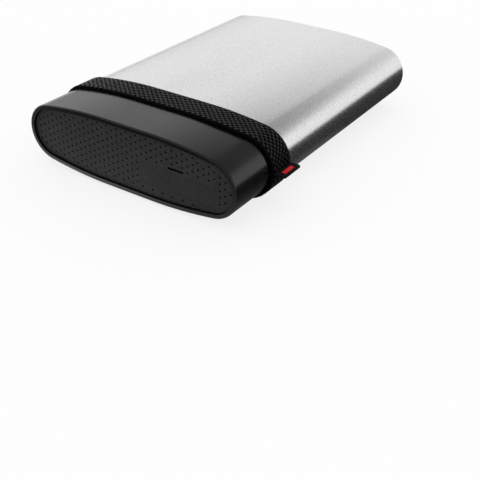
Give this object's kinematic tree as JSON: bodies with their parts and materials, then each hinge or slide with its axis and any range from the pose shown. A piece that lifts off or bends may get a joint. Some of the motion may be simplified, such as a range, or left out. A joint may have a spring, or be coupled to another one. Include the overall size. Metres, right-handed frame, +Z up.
{
  "type": "portable hard drive",
  "caption": "Flat oval portable hard drive: satin aluminium sleeve, black cap with a dotted end and hinged port cover, woven elastic strap with a side tag.",
  "frame": {"origin": "middle of the underside flat of the sleeve, on the centre line and half way along the body", "axes": "+X to the side with the tag and the port, +Y from the cap end to the rear plate, +Z up"},
  "size_m": [0.09, 0.118, 0.0258],
  "materials": {
    "sleeve": "bead-blasted satin",
    "rear_plate": "bead-blasted satin",
    "cap_plastic": "satin moulded black",
    "panel_plastic": "fine matt with small dimples",
    "cover_rubber": "matt moulded",
    "light_pipe": "smoked clear",
    "strap_weave": "woven elastic",
    "tag_fabric": "folded ribbon",
    "seal_rubber": "matt",
    "shock_rubber": "matt",
    "port_steel": "plated",
    "port_plastic": "moulded",
    "contact_metal": "gold plated",
    "board_laminate": "solder mask",
    "chip_plastic": "moulded",
    "light_source": "clear lens",
    "disk_casting": "cast",
    "disk_steel": "brushed",
    "platter": "polished",
    "hub_metal": "turned",
    "arm_metal": "machined",
    "coil_copper": "enamelled wire",
    "yoke_steel": "nickel plated"
  },
  "bodies": {
    "case": {"sleeve": "sleeve", "rear_plate": "rear_plate", "rear_seal": "seal_rubber", "end_cap": "cap_plastic", "cap_seal": "seal_rubber", "end_panel": "panel_plastic", "light_pipe": "light_pipe", "strap": "strap_weave", "tag": "tag_fabric", "front_ring": "shock_rubber", "rear_ring": "shock_rubber", "port_shell": "port_steel", "port_tongue": "port_plastic", "port_contacts": "contact_metal", "bridge_board": "board_laminate", "bridge_chip": "chip_plastic", "status_light": "light_source", "disk_plug": "port_plastic", "disk_socket": "port_plastic", "disk_base": "disk_casting", "disk_cover": "disk_steel", "cover_screws": "disk_steel", "disk_board": "board_laminate", "disk_chips": "chip_plastic", "magnet_yokes": "yoke_steel", "head_ramp": "port_plastic"},
    "cover": {"port_cover": "cover_rubber"},
    "platter": {"platter": "platter", "spindle_hub": "hub_metal"},
    "arm": {"actuator_arm": "arm_metal", "voice_coil": "coil_copper"}
  },
  "joints": [
    {"name": "cover_hinge", "type": "hinge", "parent": "case", "child": "cover", "pos_m": [0.01935, -0.058, 0.0049], "axis": [1, 0, 0], "range_deg": [0, 110]},
    {"name": "platter_spin", "type": "hinge", "parent": "case", "child": "platter", "pos_m": [0, 0.02088, 0.01285], "axis": [0, 0, 1], "continuous": true},
    {"name": "arm_swing", "type": "hinge", "parent": "case", "child": "arm", "pos_m": [-0.01603, -0.0229, 0.01285], "axis": [0, 0, 1], "range_deg": [0, 29]}
  ]
}
